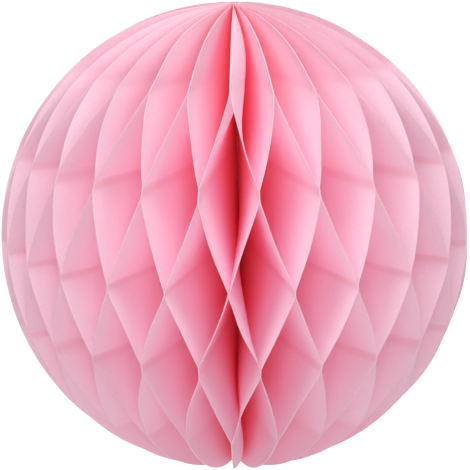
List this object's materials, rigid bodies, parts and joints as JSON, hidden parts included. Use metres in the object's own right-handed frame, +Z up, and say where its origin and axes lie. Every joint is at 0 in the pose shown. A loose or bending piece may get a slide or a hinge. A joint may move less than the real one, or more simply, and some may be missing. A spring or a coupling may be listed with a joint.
{
  "type": "honeycomb paper ball",
  "caption": "Round party decoration of half-disc tissue leaves, bound on a spine and glued on staggered rows, opened all the way round into a ball of tall diamond cells.",
  "frame": {"origin": "centre of the ball, on the spine", "axes": "+Z up along the spine, the front of the ball towards -Y, +X to its right"},
  "size_m": [0.1994, 0.1997, 0.1994],
  "materials": {
    "tissue_paper": "matt, thin and translucent",
    "spine_binding": "matt, glued paper edges"
  },
  "bodies": {
    "root": {"spine": "spine_binding", "leaf_01": "tissue_paper", "leaf_02": "tissue_paper", "leaf_03": "tissue_paper", "leaf_04": "tissue_paper", "leaf_05": "tissue_paper", "leaf_06": "tissue_paper", "leaf_07": "tissue_paper", "leaf_08": "tissue_paper", "leaf_09": "tissue_paper", "leaf_10": "tissue_paper", "leaf_11": "tissue_paper", "leaf_12": "tissue_paper", "leaf_13": "tissue_paper", "leaf_14": "tissue_paper", "leaf_15": "tissue_paper", "leaf_16": "tissue_paper", "leaf_17": "tissue_paper", "leaf_18": "tissue_paper", "leaf_19": "tissue_paper", "leaf_20": "tissue_paper", "leaf_21": "tissue_paper", "leaf_22": "tissue_paper", "leaf_23": "tissue_paper", "leaf_24": "tissue_paper", "leaf_25": "tissue_paper", "leaf_26": "tissue_paper", "leaf_27": "tissue_paper", "leaf_28": "tissue_paper", "leaf_29": "tissue_paper", "leaf_30": "tissue_paper", "leaf_31": "tissue_paper", "leaf_32": "tissue_paper", "leaf_33": "tissue_paper", "leaf_34": "tissue_paper", "leaf_35": "tissue_paper", "leaf_36": "tissue_paper", "leaf_37": "tissue_paper", "leaf_38": "tissue_paper", "leaf_39": "tissue_paper", "leaf_40": "tissue_paper", "leaf_41": "tissue_paper", "leaf_42": "tissue_paper", "leaf_43": "tissue_paper", "leaf_44": "tissue_paper", "leaf_45": "tissue_paper", "leaf_46": "tissue_paper", "leaf_47": "tissue_paper", "leaf_48": "tissue_paper"}
  },
  "joints": []
}
